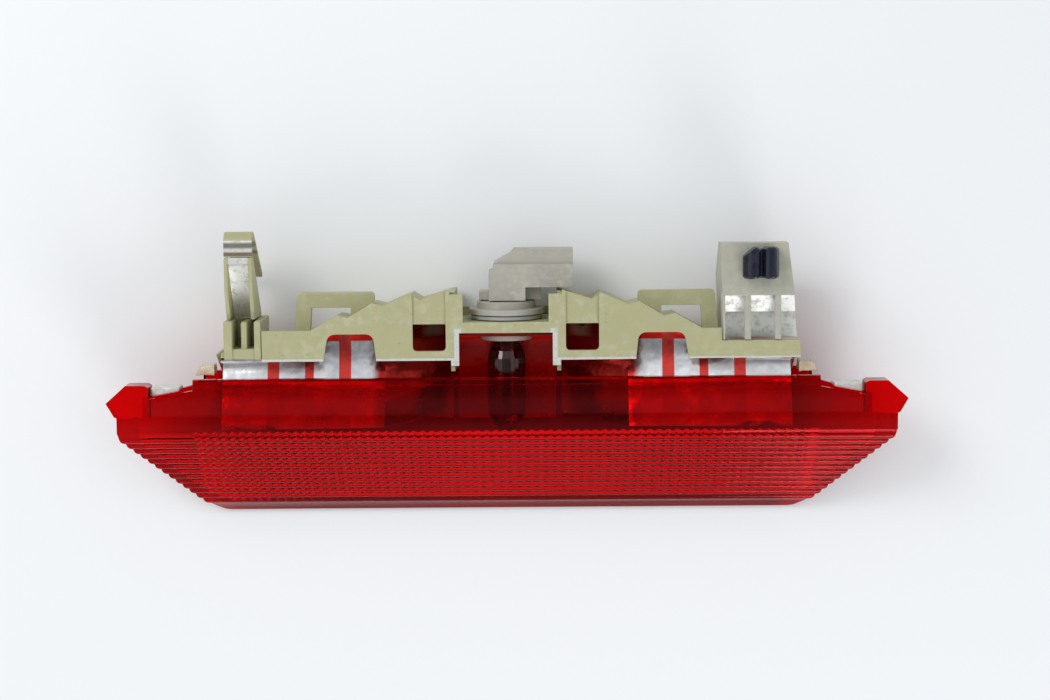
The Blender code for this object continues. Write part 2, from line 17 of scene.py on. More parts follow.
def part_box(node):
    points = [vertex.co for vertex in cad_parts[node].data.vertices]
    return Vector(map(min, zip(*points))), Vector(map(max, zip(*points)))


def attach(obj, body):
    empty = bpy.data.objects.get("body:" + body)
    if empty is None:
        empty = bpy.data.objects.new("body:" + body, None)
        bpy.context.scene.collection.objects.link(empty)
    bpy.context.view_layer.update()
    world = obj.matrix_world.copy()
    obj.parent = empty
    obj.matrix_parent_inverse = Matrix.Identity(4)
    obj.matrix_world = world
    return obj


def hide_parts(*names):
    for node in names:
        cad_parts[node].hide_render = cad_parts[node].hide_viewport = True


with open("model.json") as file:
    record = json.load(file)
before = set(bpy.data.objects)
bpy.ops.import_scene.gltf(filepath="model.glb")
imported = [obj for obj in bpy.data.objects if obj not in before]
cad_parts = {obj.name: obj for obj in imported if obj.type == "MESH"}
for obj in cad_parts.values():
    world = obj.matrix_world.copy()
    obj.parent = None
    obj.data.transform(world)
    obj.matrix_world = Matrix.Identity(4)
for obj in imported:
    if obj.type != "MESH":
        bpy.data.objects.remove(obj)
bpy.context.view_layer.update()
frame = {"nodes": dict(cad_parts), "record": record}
nodes = frame["nodes"]
body_of_node = {}
for body, members in frame["record"]["behaviour"]["bodies"].items():
    for member in members:
        body_of_node[member] = body
MM = 0.001
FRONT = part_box("lens")[0].y

# %% [markdown]
# ## Camera
# The lamp is seen almost straight from above, a little from its rear. A 70 mm lens from about 0.8 m gives
# the small amount of perspective that shows the block's inner side and the clip's returning leaf.

# %% camera
camera_data = bpy.data.cameras.new("plan_view")
camera_data.lens = 70
camera_data.sensor_width = 36
camera = bpy.data.objects.new("plan_view", camera_data)
camera.location = (0.0138, 0.0968, 0.7894)
camera.rotation_euler = tuple(math.radians(angle) for angle in (-6.52, 0.45, -0.5))
bpy.context.scene.collection.objects.link(camera)
bpy.context.scene.camera = camera
print("camera at", tuple(round(v, 3) for v in camera.location))

# %% [markdown]
# ## Surround and lamps
# Shiny parts show what is around them. The surround is dim overhead, so the red lens keeps its depth, and
# bright in a ring at its sides, so that mirrors and rounded edges still find something white. Two large
# soft lamps add highlights and lay faint shadows on the floor.

# %% surround
scene = bpy.context.scene
scene.view_settings.view_transform = "Standard"
world = bpy.data.worlds.new("tent")
world.use_nodes = True
sky = world.node_tree
sky_direction = sky.nodes.new("ShaderNodeTexCoord")
sky_split = sky.nodes.new("ShaderNodeSeparateXYZ")
sky_ramp = sky.nodes.new("ShaderNodeValToRGB")
SKY_BANDS = ((0.0, 0.30), (0.22, 0.55), (0.42, 1.0), (0.90, 0.97), (0.975, 0.36), (1.0, 0.26))
while len(sky_ramp.color_ramp.elements) < len(SKY_BANDS):
    sky_ramp.color_ramp.elements.new(0.5)
for element, (height, level) in zip(sky_ramp.color_ramp.elements, SKY_BANDS):
    element.position = height
    element.color = (level * 0.95, level * 0.975, level, 1)
sky.links.new(sky_direction.outputs["Generated"], sky_split.inputs["Vector"])
sky.links.new(sky_split.outputs["Z"], sky_ramp.inputs["Fac"])
sky.links.new(sky_ramp.outputs["Color"], sky.nodes["Background"].inputs["Color"])
sky.nodes["Background"].inputs["Strength"].default_value = 0.86
scene.world = world


# %% lamps
def soft_lamp(name, place, target, size, watts):
    """A square area lamp that looks at a target."""
    data = bpy.data.lights.new(name, "AREA")
    data.energy = watts
    data.size = size
    lamp = bpy.data.objects.new(name, data)
    lamp.location = place
    lamp.rotation_euler = (Vector(target) - Vector(place)).to_track_quat("-Z", "Y").to_euler()
    scene.collection.objects.link(lamp)
    return lamp


soft_lamp("window_lamp", (-0.75, 0.75, 0.95), (0, 0, 0), 0.6, 7.0)
soft_lamp("front_lamp", (0.45, -1.0, 0.55), (0, 0, 0), 0.5, 4.5)


# %% floor
def simple_material(name, color, roughness):
    """A Principled material, its node tree and its shader."""
    material = bpy.data.materials.new(name)
    material.use_nodes = True
    tree = material.node_tree
    shader = tree.nodes["Principled BSDF"]
    shader.inputs["Base Color"].default_value = (*color, 1)
    shader.inputs["Roughness"].default_value = roughness
    return material, tree, shader


floor_bm = bmesh.new()
bmesh.ops.create_grid(floor_bm, x_segments=1, y_segments=1, size=3.0)
floor_mesh = bpy.data.meshes.new("floor")
floor_bm.to_mesh(floor_mesh)
floor_bm.free()
floor = bpy.data.objects.new("floor", floor_mesh)
floor.location.z = -0.0002
scene.collection.objects.link(floor)
floor_material = simple_material("pale_floor", (0.85, 0.86, 0.87), 0.75)[0]
floor.data.materials.append(floor_material)
print("floor at", floor.location.z)

# %% [markdown]
# ## Shared effects
# Real mouldings are never one flat colour. Three node groups hold what the finishes share: a mottle that
# varies a colour softly, a fine grain for the bump, and a group for wear and shade, which marks the rubbed
# edges and gives the recesses a painted shade. They give out colours, masks and heights only, so the
# shader stays in the material.


# %% node groups
def group(name, inputs, outputs):
    """A new shader node group with float or colour sockets."""
    tree = bpy.data.node_groups.new(name, "ShaderNodeTree")
    for label, kind, value in inputs:
        socket = tree.interface.new_socket(label, in_out="INPUT", socket_type=kind)
        socket.default_value = value
    for label, kind in outputs:
        tree.interface.new_socket(label, in_out="OUTPUT", socket_type=kind)
    start = tree.nodes.new("NodeGroupInput")
    end = tree.nodes.new("NodeGroupOutput")
    return tree, start, end


def noise_node(tree, scale, detail=3.0, roughness=0.55):
    """Noise on the object's own coordinates."""
    coordinates = tree.nodes.new("ShaderNodeTexCoord")
    pattern = tree.nodes.new("ShaderNodeTexNoise")
    pattern.inputs["Scale"].default_value = scale
    pattern.inputs["Detail"].default_value = detail
    pattern.inputs["Roughness"].default_value = roughness
    tree.links.new(coordinates.outputs["Object"], pattern.inputs["Vector"])
    return pattern


def ramp_node(tree, low, high):
    """A map range from a stretch of values to 0..1."""
    spread = tree.nodes.new("ShaderNodeMapRange")
    spread.inputs["From Min"].default_value = low
    spread.inputs["From Max"].default_value = high
    return spread


FLOAT = "NodeSocketFloat"
COLOR = "NodeSocketColor"

mottle, mottle_in, mottle_out = group(
    "mottle",
    [("Base", COLOR, (0.5, 0.5, 0.5, 1)), ("Tint", COLOR, (0.4, 0.4, 0.4, 1)), ("Scale", FLOAT, 60.0)],
    [("Color", COLOR), ("Mask", FLOAT)])
mottle_noise = noise_node(mottle, 60.0, 4.0)
mottle.links.new(mottle_in.outputs["Scale"], mottle_noise.inputs["Scale"])
mottle_spread = ramp_node(mottle, 0.2, 0.8)
mottle.links.new(mottle_noise.outputs["Fac"], mottle_spread.inputs["Value"])
mottle_mix = mottle.nodes.new("ShaderNodeMix")
mottle_mix.data_type = "RGBA"
mottle.links.new(mottle_spread.outputs["Result"], mottle_mix.inputs["Factor"])
mottle.links.new(mottle_in.outputs["Base"], mottle_mix.inputs["A"])
mottle.links.new(mottle_in.outputs["Tint"], mottle_mix.inputs["B"])
mottle.links.new(mottle_mix.outputs["Result"], mottle_out.inputs["Color"])
mottle.links.new(mottle_spread.outputs["Result"], mottle_out.inputs["Mask"])

grain, grain_in, grain_out = group(
    "grain", [("Scale", FLOAT, 1500.0), ("Fine", FLOAT, 0.1)], [("Height", FLOAT)])
grain_noise = noise_node(grain, 1500.0, 2.0)
grain.links.new(grain_in.outputs["Scale"], grain_noise.inputs["Scale"])
grain_gain = grain.nodes.new("ShaderNodeMath")
grain_gain.operation = "MULTIPLY"
grain.links.new(grain_noise.outputs["Fac"], grain_gain.inputs[0])
grain.links.new(grain_in.outputs["Fine"], grain_gain.inputs[1])
grain.links.new(grain_gain.outputs["Value"], grain_out.inputs["Height"])

wear_and_shade, wear_in, wear_out = group("wear_and_shade", [("Break", FLOAT, 260.0)], [("Mask", FLOAT), ("Crevice", FLOAT)])
wear_geometry = wear_and_shade.nodes.new("ShaderNodeNewGeometry")
wear_noise = noise_node(wear_and_shade, 260.0, 3.0)
wear_and_shade.links.new(wear_in.outputs["Break"], wear_noise.inputs["Scale"])
wear_edge = ramp_node(wear_and_shade, 0.52, 0.60)
wear_and_shade.links.new(wear_geometry.outputs["Pointiness"], wear_edge.inputs["Value"])
wear_patch = ramp_node(wear_and_shade, 0.45, 0.62)
wear_and_shade.links.new(wear_noise.outputs["Fac"], wear_patch.inputs["Value"])
wear_product = wear_and_shade.nodes.new("ShaderNodeMath")
wear_product.operation = "MULTIPLY"
wear_and_shade.links.new(wear_edge.outputs["Result"], wear_product.inputs[0])
wear_and_shade.links.new(wear_patch.outputs["Result"], wear_product.inputs[1])
# The Crevice output is painted shade: it rises where pointiness is low, in the recesses.
crevice_shade = ramp_node(wear_and_shade, 0.49, 0.43)
wear_and_shade.links.new(wear_geometry.outputs["Pointiness"], crevice_shade.inputs["Value"])
wear_and_shade.links.new(wear_product.outputs["Value"], wear_out.inputs["Mask"])
wear_and_shade.links.new(crevice_shade.outputs["Result"], wear_out.inputs["Crevice"])
print("groups", [g.name for g in bpy.data.node_groups])

# %% [markdown]
# ## Finishes
# Each finish is a plain Principled shader fed by the shared groups. The olive plastic carries two more
# masks: dark specks, and a haze of mirror coat that was sprayed past the reflectors onto the plate's
# front rim and windows, the block's pockets, and the clip's web and curled leaf.


# %% finish helpers
def place_group(tree, shared, **values):
    """Put a shared group in a material and set its inputs."""
    node = tree.nodes.new("ShaderNodeGroup")
    node.node_tree = shared
    for label, value in values.items():
        node.inputs[label].default_value = value
    return node


def mix_color(tree, factor, first, second):
    """Mix two colours, each a socket or a value, by a socket."""
    node = tree.nodes.new("ShaderNodeMix")
    node.data_type = "RGBA"
    tree.links.new(factor, node.inputs["Factor"])
    for label, value in (("A", first), ("B", second)):
        if isinstance(value, bpy.types.NodeSocket):
            tree.links.new(value, node.inputs[label])
        else:
            node.inputs[label].default_value = value
    return node.outputs["Result"]


def mix_number(tree, factor, first, second):
    """Mix two numbers, each a socket or a value, by a socket."""
    node = tree.nodes.new("ShaderNodeMix")
    tree.links.new(factor, node.inputs["Factor"])
    for label, value in (("A", first), ("B", second)):
        if isinstance(value, bpy.types.NodeSocket):
            tree.links.new(value, node.inputs[label])
        else:
            node.inputs[label].default_value = value
    return node.outputs["Result"]


def math_node(tree, operation, first, second):
    """One math step on sockets or numbers."""
    node = tree.nodes.new("ShaderNodeMath")
    node.operation = operation
    node.use_clamp = operation in ("ADD", "MULTIPLY", "MAXIMUM")
    for index, value in enumerate((first, second)):
        if isinstance(value, bpy.types.NodeSocket):
            tree.links.new(value, node.inputs[index])
        else:
            node.inputs[index].default_value = value
    return node.outputs["Value"]


def bump(tree, shader, height, distance, strength=0.6):
    """Feed a height to the shader's normal."""
    node = tree.nodes.new("ShaderNodeBump")
    node.inputs["Distance"].default_value = distance
    node.inputs["Strength"].default_value = strength
    tree.links.new(height, node.inputs["Height"])
    tree.links.new(node.outputs["Normal"], shader.inputs["Normal"])
    return node


def position_axis(tree, axis):
    """One object coordinate, in metres; a leading | gives its distance from the middle."""
    coordinates = tree.nodes.new("ShaderNodeTexCoord")
    split = tree.nodes.new("ShaderNodeSeparateXYZ")
    tree.links.new(coordinates.outputs["Object"], split.inputs["Vector"])
    if axis.startswith("|"):
        return math_node(tree, "ABSOLUTE", split.outputs[axis[1:]], 0.0)
    return split.outputs[axis]


def band(tree, axis, low, high, soft):
    """1 where an object coordinate lies between low and high, with soft ends."""
    value = position_axis(tree, axis)
    rise = ramp_node(tree, low - soft, low)
    fall = ramp_node(tree, high + soft, high)
    tree.links.new(value, rise.inputs["Value"])
    tree.links.new(value, fall.inputs["Value"])
    return math_node(tree, "MULTIPLY", rise.outputs["Result"], fall.outputs["Result"])


def depth(millimetres):
    """The world Y of a depth behind the lens's front edge."""
    return FRONT + millimetres * MM


# %% olive plastic
OLIVE = (0.405, 0.392, 0.215)
DUSTY_OLIVE = (0.405, 0.40, 0.33)
SPRAYED = (0.72, 0.72, 0.69)


def olive_finish(name, *sprays, tone=OLIVE, painted_bands=()):
    """Aged olive plastic. Each spray is a list of bands (axis, low, high, soft) that bound a haze of coat.

    Each painted band is a band and its colour, laid over the rest, as a painted reflection.
    """
    material, tree, shader = simple_material(name, tone, 0.5)
    light = tuple(channel * 1.02 for channel in tone)
    dull = tuple(channel * 0.96 for channel in tone)
    base = place_group(tree, mottle, Base=(*light, 1), Tint=(*dull, 1), Scale=130.0)
    edges = place_group(tree, wear_and_shade, Break=300.0)
    fine = place_group(tree, grain, Scale=1800.0, Fine=0.4)
    rubbed = math_node(tree, "MULTIPLY", edges.outputs["Mask"], 0.4)
    worn = mix_color(tree, rubbed, base.outputs["Color"], (0.52, 0.51, 0.38, 1))
    specks = ramp_node(tree, 0.70, 0.76)
    tree.links.new(noise_node(tree, 620.0, 2.0).outputs["Fac"], specks.inputs["Value"])
    speck_mask = math_node(tree, "MULTIPLY", specks.outputs["Result"], 0.5)
    dotted = mix_color(tree, speck_mask, worn, (0.20, 0.18, 0.11, 1))
    # Painted shade: the recesses are darkened towards a dark olive.
    recess_shade = math_node(tree, "MULTIPLY", edges.outputs["Crevice"], 0.45)
    color = mix_color(tree, recess_shade, dotted, (0.15, 0.14, 0.085, 1))
    rough = ramp_node(tree, 0.0, 1.0)
    rough.inputs["To Min"].default_value = 0.40
    rough.inputs["To Max"].default_value = 0.55
    tree.links.new(base.outputs["Mask"], rough.inputs["Value"])
    roughness = rough.outputs["Result"]
    coat = None
    for spray in sprays:
        reach = band(tree, *spray[0])
        for limits in spray[1:]:
            reach = math_node(tree, "MULTIPLY", reach, band(tree, *limits))
        coat = reach if coat is None else math_node(tree, "MAXIMUM", coat, reach)
    if coat is not None:
        speckle = ramp_node(tree, 0.38, 0.58)
        tree.links.new(noise_node(tree, 420.0, 5.0, 0.7).outputs["Fac"], speckle.inputs["Value"])
        coat = math_node(tree, "MULTIPLY", coat, math_node(tree, "ADD", speckle.outputs["Result"], 0.42))
        color = mix_color(tree, coat, color, (*SPRAYED, 1))
        tree.links.new(math_node(tree, "MULTIPLY", coat, 0.45), shader.inputs["Metallic"])
        roughness = mix_number(tree, coat, roughness, 0.38)
    # Painted reflection bands, laid over the colour.
    for stripe, stripe_color in painted_bands:
        color = mix_color(tree, band(tree, *stripe), color, (*stripe_color, 1))
    tree.links.new(color, shader.inputs["Base Color"])
    tree.links.new(roughness, shader.inputs["Roughness"])
    bump(tree, shader, fine.outputs["Height"], 0.0001)
    return material


plate_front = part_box("housing_top")[0].y
block_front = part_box("mounting_block")[0].y
arm_low, arm_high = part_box("clip_arm")
CURL_LENGTH = 9.5 * MM
curl_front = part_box("clip_leaf")[1].y - CURL_LENGTH
WEB_MARGIN = 1.8 * MM
FINE_EDGE = 0.3 * MM
web = ("X", arm_low.x + WEB_MARGIN, arm_high.x - WEB_MARGIN, 0.2 * MM)
front_rim = ("Y", plate_front - 4 * MM, plate_front + 2.7 * MM, FINE_EDGE)
window_sides = ("|X", 16.8 * MM, 19.2 * MM, 0.2 * MM)
window_reach = ("Y", plate_front, plate_front + 13.5 * MM, 0.6 * MM)
pocket_reach = ("Y", block_front + 0.4 * MM, block_front + 16.8 * MM, 0.4 * MM)
pocket_heights = ("Z", 26.2 * MM, 33 * MM, FINE_EDGE)
web_heights = ("Z", 17 * MM, 32.6 * MM, FINE_EDGE)
web_end = ("Y", arm_high.y - 4.5 * MM, arm_high.y + 1 * MM, FINE_EDGE)
curl_reach = ("Y", curl_front - 1 * MM, curl_front + 6 * MM, 0.6 * MM)
curl_heights = ("Z", 29 * MM, 36 * MM, 1 * MM)
# Painted reflection: the dark band and the brown band that the glossy curl's curve shows.
curl_dark_reflection = ("Y", curl_front + 4 * MM, curl_front + 5.2 * MM, 0.9 * MM)
curl_brown_reflection = ("Y", curl_front + 0.8 * MM, curl_front + 1.8 * MM, 0.6 * MM)

olive = olive_finish("olive_plastic")
olive_plate = olive_finish("olive_plate", [front_rim], [window_sides, window_reach])
olive_block = olive_finish("olive_block", [pocket_reach, pocket_heights], tone=DUSTY_OLIVE)
olive_arm = olive_finish("olive_arm", [web, web_heights], [web, web_end])
olive_leaf = olive_finish(
    "olive_leaf", [curl_reach, curl_heights],
    painted_bands=((curl_dark_reflection, (0.20, 0.195, 0.16)), (curl_brown_reflection, (0.21, 0.165, 0.11))))
print("olive finishes made")


# %% red lens
def red_finish():
    """Clear red acrylic, with fine scratches and dust in its roughness."""
    material, tree, shader = simple_material("red_lens", (0.78, 0.001, 0.002), 0.03)
    shader.inputs["Transmission Weight"].default_value = 1.0
    shader.inputs["IOR"].default_value = 1.49
    shader.inputs["Specular Tint"].default_value = (1.0, 0.12, 0.14, 1)
    scuff = noise_node(tree, 380.0, 4.0, 0.65)
    spread = ramp_node(tree, 0.50, 0.78)
    spread.inputs["To Min"].default_value = 0.015
    spread.inputs["To Max"].default_value = 0.12
    tree.links.new(scuff.outputs["Fac"], spread.inputs["Value"])
    tree.links.new(spread.outputs["Result"], shader.inputs["Roughness"])
    tone = place_group(
        tree, mottle, Base=(0.80, 0.0005, 0.001, 1), Tint=(0.66, 0.0003, 0.0006, 1), Scale=24.0)
    tree.links.new(tone.outputs["Color"], shader.inputs["Base Color"])
    return material


red = red_finish()


# %% mirror coat
# Painted reflection: the red that the mirror reflects from the lens is painted into its colour, in the
# middle, on the steps and at the notches. Behind the small windows the plain coat is kept.
RED_MIDDLE = 48.0
RED_STEPS = ((59.0, 63.2), (73.0, 76.0), (86.0, 90.0))
WINDOW_GLEAM = (26.2, 30.0)
WINDOW_GLEAM_FROM = 70.0
NOTCH_SPAN = (48.0, 71.0)
NOTCH_RED_FROM = 68.3
MIDDLE_LENS_REFLECTION = (0.46, 0.03, 0.025)
STEP_LENS_REFLECTION = (0.66, 0.06, 0.05)
NOTCH_LENS_REFLECTION = (0.95, 0.03, 0.02)


def rear_patch(tree, span, start, side_soft, front_soft):
    """1 in the mirror's rear part, between two distances from the middle and behind a depth."""
    across = band(tree, "|X", span[0] * MM, span[1] * MM, side_soft * MM)
    return math_node(tree, "MULTIPLY", across, band(tree, "Y", depth(start), 1.0, front_soft * MM))


def mirror_finish():
    """Vacuum-coated aluminium, hazed and a little wavy, with the lens's red painted in as reflection in the
    middle, on the steps and at the notches.
    """
    material, tree, shader = simple_material("mirror_coat", (0.80, 0.80, 0.83), 0.12)
    shader.inputs["Metallic"].default_value = 1.0
    haze = noise_node(tree, 90.0, 5.0, 0.7)
    spread = ramp_node(tree, 0.35, 0.8)
    spread.inputs["To Min"].default_value = 0.16
    spread.inputs["To Max"].default_value = 0.36
    tree.links.new(haze.outputs["Fac"], spread.inputs["Value"])
    tree.links.new(spread.outputs["Result"], shader.inputs["Roughness"])
    tone = place_group(tree, mottle, Base=(1.0, 1.0, 1.0, 1), Tint=(0.46, 0.46, 0.50, 1), Scale=110.0)
    # Painted reflection of the red lens: the middle, the notches and the steps.
    middle = band(tree, "|X", -1.0, RED_MIDDLE * MM, 3 * MM)
    color = mix_color(tree, middle, tone.outputs["Color"], (*MIDDLE_LENS_REFLECTION, 1))
    gleam = rear_patch(tree, WINDOW_GLEAM, WINDOW_GLEAM_FROM, 3, 2)
    color = mix_color(tree, gleam, color, tone.outputs["Color"])
    color = mix_color(tree, rear_patch(tree, NOTCH_SPAN, NOTCH_RED_FROM, 1, 0.3), color, (*NOTCH_LENS_REFLECTION, 1))
    for low, high in RED_STEPS:
        color = mix_color(tree, band(tree, "|X", low * MM, high * MM, 0.3 * MM), color, (*STEP_LENS_REFLECTION, 1))
    tree.links.new(color, shader.inputs["Base Color"])
    wave = noise_node(tree, 130.0, 2.0)
    bump(tree, shader, wave.outputs["Fac"], 0.00035, 1.0)
    return material


mirror_coat = mirror_finish()


# %% holder plastic, rubber, foam, weld and small metal
def mottled_finish(name, base, tint, scale, roughness, grain_scale, grain_height, metallic=0.0):
    """A mottled material with grain and painted shade in its recesses, for the small pieces."""
    material, tree, shader = simple_material(name, base, roughness)
    shader.inputs["Metallic"].default_value = metallic
    tone = place_group(tree, mottle, Base=(*base, 1), Tint=(*tint, 1), Scale=scale)
    edges = place_group(tree, wear_and_shade, Break=350.0)
    dark = tuple(channel * 0.4 for channel in base)
    pale = tuple(min(1.0, channel * 1.25 + 0.02) for channel in base)
    rubbed = math_node(tree, "MULTIPLY", edges.outputs["Mask"], 0.6)
    worn = mix_color(tree, rubbed, tone.outputs["Color"], (*pale, 1))
    # Painted shade: the recesses are darkened towards dark, a darker copy of the base colour.
    recess_shade = math_node(tree, "MULTIPLY", edges.outputs["Crevice"], 0.5)
    color = mix_color(tree, recess_shade, worn, (*dark, 1))
    tree.links.new(color, shader.inputs["Base Color"])
    rough = ramp_node(tree, 0.0, 1.0)
    rough.inputs["To Min"].default_value = roughness * 0.85
    rough.inputs["To Max"].default_value = min(1.0, roughness * 1.2)
    tree.links.new(tone.outputs["Mask"], rough.inputs["Value"])
    tree.links.new(rough.outputs["Result"], shader.inputs["Roughness"])
    fine = place_group(tree, grain, Scale=grain_scale, Fine=0.5)
    bump(tree, shader, fine.outputs["Height"], grain_height)
    return material


holder_grey = mottled_finish(
    "holder_plastic", (0.405, 0.385, 0.325), (0.355, 0.34, 0.29), 90.0, 0.5, 1500.0, 0.00015)
seal_grey = mottled_finish(
    "seal_grey", (0.42, 0.45, 0.42), (0.33, 0.35, 0.33), 160.0, 0.45, 900.0, 0.0002)
black_rubber = mottled_finish(
    "black_rubber", (0.007, 0.008, 0.020), (0.012, 0.014, 0.030), 160.0, 0.24, 900.0, 0.0001)
pad_grey = mottled_finish(
    "grey_foam", (0.66, 0.67, 0.64), (0.52, 0.54, 0.50), 260.0, 0.85, 2600.0, 0.0004)
weld_cream = mottled_finish(
    "cream_weld", (0.74, 0.67, 0.50), (0.50, 0.36, 0.22), 200.0, 0.4, 800.0, 0.0004)
cap_brown = mottled_finish(
    "bulb_cap", (0.22, 0.13, 0.07), (0.12, 0.07, 0.04), 120.0, 0.4, 900.0, 0.0002)
tin = mottled_finish(
    "tin_metal", (0.72, 0.70, 0.65), (0.55, 0.53, 0.48), 300.0, 0.28, 1200.0, 0.00008, 1.0)


def glass_finish():
    """The bulb's glass, with a red-brown tint painted on as the reflection of the red lens around it."""
    material, tree, shader = simple_material("bulb_glass", (0.5, 0.3, 0.3), 0.015)
    shader.inputs["Transmission Weight"].default_value = 1.0
    shader.inputs["IOR"].default_value = 1.5
    # Painted reflection: the red of the lens around the bulb is painted into the glass's colour.
    lens_reflection_tint = place_group(tree, mottle, Base=(0.42, 0.10, 0.09, 1), Tint=(0.28, 0.05, 0.05, 1), Scale=90.0)
    tree.links.new(lens_reflection_tint.outputs["Color"], shader.inputs["Base Color"])
    return material


red_tinted_glass = glass_finish()
print("materials", len(bpy.data.materials))

# %% [markdown]
# ## Fine surfaces
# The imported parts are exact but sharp-edged. A moulding's edges are never sharp, and a thin bright line
# along a rounded edge is most of what makes it look real. So each part is copied, its triangles are
# merged back into the flats they came from, a Bevel modifier rounds the edges, and the copy stands for
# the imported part.


# %% finished pieces
def finish_piece(name, mesh, material, body, replaced, smooth_angle=40.0):
    """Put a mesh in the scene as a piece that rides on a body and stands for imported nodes."""
    mesh.materials.clear()
    mesh.materials.append(material)
    mesh.shade_smooth()
    mesh.set_sharp_from_angle(angle=math.radians(smooth_angle))
    piece = bpy.data.objects.new(name, mesh)
    scene.collection.objects.link(piece)
    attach(piece, body)
    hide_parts(*replaced)
    return piece


def round_edges(piece, width, segments=2, angle=35.0):
    """A live bevel on a piece's sharp edges."""
    bevel = piece.modifiers.new("rounded_edges", "BEVEL")
    bevel.width = width * MM
    bevel.segments = segments
    bevel.limit_method = "ANGLE"
    bevel.angle_limit = math.radians(angle)
    bevel.harden_normals = True
    return bevel


def merged_copy(node):
    """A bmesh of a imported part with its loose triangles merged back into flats."""
    shape = bmesh.new()
    shape.from_mesh(nodes[node].data)
    bmesh.ops.remove_doubles(shape, verts=shape.verts, dist=2e-6)
    bmesh.ops.dissolve_limit(shape, angle_limit=math.radians(0.6), verts=shape.verts, edges=shape.edges)
    return shape


def mesh_from(shape, name):
    """A mesh from a bmesh, which is then freed."""
    mesh = bpy.data.meshes.new(name)
    shape.to_mesh(mesh)
    shape.free()
    return mesh


def moulded(node, material, width=0.35, segments=2):
    """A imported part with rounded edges."""
    mesh = mesh_from(merged_copy(node), node)
    piece = finish_piece(node + "_moulding", mesh, material, body_of_node[node], [node])
    round_edges(piece, width, segments)
    return piece


# %% tools that cut
def extruded(name, outline, axis, low, high):
    """A helper solid: an outline in millimetres as one face, extruded along x, y or z."""
    shape = bmesh.new()
    corners = []
    for u, v in outline:
        spot = {"x": (low, u, v), "y": (u, low, v), "z": (u, v, low)}[axis]
        corners.append(shape.verts.new((spot[0] * MM, depth(spot[1]), spot[2] * MM)))
    face = shape.faces.new(corners)
    grown = bmesh.ops.extrude_face_region(shape, geom=[face])
    reach = {"x": (1, 0, 0), "y": (0, 1, 0), "z": (0, 0, 1)}[axis]
    moved = [part for part in grown["geom"] if isinstance(part, bmesh.types.BMVert)]
    bmesh.ops.translate(shape, verts=moved, vec=Vector(reach) * (high - low) * MM)
    bmesh.ops.recalc_face_normals(shape, faces=shape.faces)
    tool = bpy.data.objects.new(name, mesh_from(shape, name))
    scene.collection.objects.link(tool)
    return tool


def carve(target, *steps):
    """Combine an object with tools, each (operation, tool), then keep only the resulting mesh."""
    for operation, tool in steps:
        boolean = target.modifiers.new(tool.name, "BOOLEAN")
        boolean.operation = operation
        boolean.solver = "EXACT"
        boolean.object = tool
    bpy.context.view_layer.update()
    shown = target.evaluated_get(bpy.context.evaluated_depsgraph_get())
    result = bpy.data.meshes.new_from_object(shown)
    target.modifiers.clear()
    target.data = result
    for _, tool in steps:
        bpy.data.objects.remove(tool, do_unlink=True)
    return target


def take_mesh(target):
    """The mesh of a helper object, which is then removed."""
    mesh = target.data
    bpy.data.objects.remove(target, do_unlink=True)
    return mesh


# %% [markdown]
# ## The lens
# The lens is one deep red moulding: a raked face with thirteen rounded flutes, a flat top with a step and
# a fine rib near its rear edge, two ears, and upright prisms moulded inside the raked face. The side view
# is drawn once and extruded across, then trimmed by the front view and the plan, as a mould-maker would
# cut it, and hollowed last.

# %% lens outlines
LENS_TOP = 34.0
RAKE_START = 2.0
RAKE_BORDER = 3.2
FLUTES = 13
FLUTE_RISE = 0.55
FLUTE_STEPS = 8
LENS_REAR = 55.3
FOOT_HALF = 111.8
HEAD_HALF = 146.6
CORNER = 30.0
WALL = 2.0
RAKE = (LENS_TOP - RAKE_START) / LENS_TOP


def rake_height(y):
    """Height of the raked face at a depth."""
    return RAKE_START + RAKE * y


def side_view():
    """The lens from its side: raked flutes, a step in the top, and a rib before the rear edge."""
    start = Vector((RAKE_BORDER, rake_height(RAKE_BORDER)))
    finish = Vector((LENS_TOP - 1.0, rake_height(LENS_TOP - 1.0)))
    along = (finish - start) / FLUTES
    outward = Vector((-along.y, along.x)).normalized()
    outline = [(0.0, 0.0), (0.0, RAKE_START - 0.5), (0.4, RAKE_START + 0.2), tuple(start)]
    for flute in range(FLUTES):
        for step in range(1, FLUTE_STEPS + 1):
            share = step / FLUTE_STEPS
            swell = outward * FLUTE_RISE * math.sin(math.pi * share)
            outline.append(tuple(start + along * (flute + share) + swell))
    step_in_top = [(34.6, 33.45), (34.9, 33.65), (42.6, 33.65), (43.2, LENS_TOP)]
    fine_rib = [(51.9, LENS_TOP), (52.1, 34.4), (52.7, 34.4), (52.9, LENS_TOP)]
    rear_edge = [(54.9, LENS_TOP), (57.3, 33.7), (57.3, 0.0)]
    return outline + step_in_top + fine_rib + rear_edge


def arc_corner(centre_u, centre_v, radius, start_angle, end_angle, steps):
    """Points along an arc, angles in degrees."""
    points = []
    for step in range(steps + 1):
        angle = math.radians(start_angle + (end_angle - start_angle) * step / steps)
        points.append((centre_u + radius * math.cos(angle), centre_v + radius * math.sin(angle)))
    return points


def front_view(inset, foot, head):
    """The lens from its front: sloping sides and round lower corners, moved inwards by an inset."""
    lean = (HEAD_HALF - FOOT_HALF) / LENS_TOP
    slope = math.atan2(1, lean)
    radius = CORNER - inset
    low_half = FOOT_HALF + lean * foot - inset * math.hypot(1, lean)
    high_half = low_half + lean * (head - foot)
    centre_u = low_half - radius * math.tan(slope / 2)
    right = arc_corner(centre_u, foot + radius, radius, -90, math.degrees(slope) - 90, 10)
    right.append((high_half, head))
    return [(-u, v) for u, v in reversed(right)] + right


